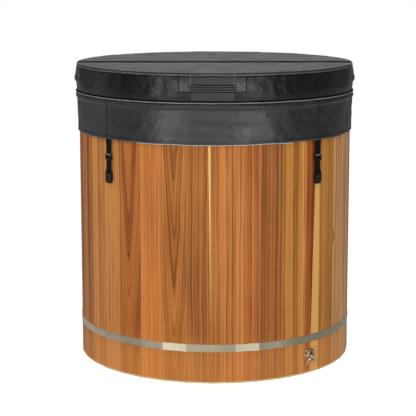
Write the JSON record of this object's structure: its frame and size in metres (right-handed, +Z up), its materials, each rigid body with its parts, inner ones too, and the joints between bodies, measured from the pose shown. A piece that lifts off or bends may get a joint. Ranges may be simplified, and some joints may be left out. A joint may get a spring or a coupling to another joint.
{
  "type": "cold plunge tub",
  "caption": "Round cedar cold plunge tub of upright staves in steel hoops, with a drain valve and a folding foam cover that has a skirt, handles and hanging buckle straps.",
  "frame": {"origin": "middle of the base, on the surface that the tub stands on", "axes": "+Z up along the tub's axis, -Y to the front with the cover's front handle, +X to the right seen from the front"},
  "size_m": [1.0952, 1.1132, 1.1448],
  "materials": {
    "cedar": "oiled red cedar with upright grain",
    "hoop_steel": "brushed stainless band",
    "brass": "cast and machined",
    "chrome": "polished plate",
    "vinyl": "black coated cloth with a fine grain",
    "foam": "white expanded foam",
    "webbing": "black woven webbing",
    "buckle_plastic": "black moulded plastic"
  },
  "bodies": {
    "tub": {"stave_01": "cedar", "stave_02": "cedar", "stave_03": "cedar", "stave_04": "cedar", "stave_05": "cedar", "stave_06": "cedar", "stave_07": "cedar", "stave_08": "cedar", "stave_09": "cedar", "stave_10": "cedar", "stave_11": "cedar", "stave_12": "cedar", "stave_13": "cedar", "stave_14": "cedar", "stave_15": "cedar", "stave_16": "cedar", "stave_17": "cedar", "stave_18": "cedar", "stave_19": "cedar", "stave_20": "cedar", "stave_21": "cedar", "staves_22_23": "cedar", "staves_24_25": "cedar", "staves_26_27": "cedar", "staves_28_29": "cedar", "staves_30_31": "cedar", "staves_32_33": "cedar", "staves_34_35": "cedar", "staves_36_37": "cedar", "tub_floor": "cedar", "floor_joist_front": "cedar", "floor_joist_rear": "cedar", "lower_hoop": "hoop_steel", "upper_hoop": "hoop_steel", "lower_hoop_bolt": "hoop_steel", "lower_hoop_nut": "hoop_steel", "drain_strainer": "chrome", "drain_lock_nut": "brass", "drain_valve_body": "brass", "drain_escutcheon": "chrome"},
    "drain_handle": {"drain_spindle": "hoop_steel", "drain_cross_handle": "chrome", "drain_handle_cap": "chrome"},
    "rear_cover": {"rear_foam_core": "foam", "rear_jacket": "vinyl", "rear_skirt": "vinyl", "rear_handle": "vinyl", "fold_gusset": "vinyl"},
    "front_cover": {"front_foam_core": "foam", "front_jacket": "vinyl", "front_skirt": "vinyl", "front_handle": "vinyl", "left_handle": "vinyl", "right_handle": "vinyl"},
    "left_strap": {"left_strap": "webbing"},
    "right_strap": {"right_strap": "webbing"},
    "left_glide": {"left_glide": "buckle_plastic"},
    "right_glide": {"right_glide": "buckle_plastic"},
    "left_buckle": {"left_buckle": "buckle_plastic"},
    "right_buckle": {"right_buckle": "buckle_plastic"}
  },
  "joints": [
    {"name": "cover_lift", "type": "slide", "parent": "tub", "child": "rear_cover", "axis": [0, 0, 1], "range_m": [0, 0.35]},
    {"name": "cover_fold", "type": "hinge", "parent": "rear_cover", "child": "front_cover", "pos_m": [0, 0, 1.1458], "axis": [-1, 0, 0], "range_deg": [0, 180]},
    {"name": "drain_turn", "type": "hinge", "parent": "tub", "child": "drain_handle", "pos_m": [0.35758, -0.3932, 0.066], "axis": [0.6728, -0.7398, 0], "range_deg": [0, 90]},
    {"name": "left_strap_swing", "type": "hinge", "parent": "front_cover", "child": "left_strap", "pos_m": [-0.3917, -0.37171, 0.885], "axis": [-0.6884, 0.7254, 0], "range_deg": [0, 90]},
    {"name": "right_strap_swing", "type": "hinge", "parent": "front_cover", "child": "right_strap", "pos_m": [0.38184, -0.38184, 0.885], "axis": [-0.7071, -0.7071, 0], "range_deg": [0, 90]},
    {"name": "left_glide_slide", "type": "slide", "parent": "left_strap", "child": "left_glide", "axis": [0, 0, 1], "range_m": [-0.03, 0.03]},
    {"name": "right_glide_slide", "type": "slide", "parent": "right_strap", "child": "right_glide", "axis": [0, 0, 1], "range_m": [-0.03, 0.03]},
    {"name": "left_buckle_swing", "type": "hinge", "parent": "left_strap", "child": "left_buckle", "pos_m": [-0.3917, -0.37171, 0.764], "axis": [-0.6884, 0.7254, 0], "range_deg": [0, 80]},
    {"name": "right_buckle_swing", "type": "hinge", "parent": "right_strap", "child": "right_buckle", "pos_m": [0.38184, -0.38184, 0.764], "axis": [-0.7071, -0.7071, 0], "range_deg": [0, 80]}
  ]
}
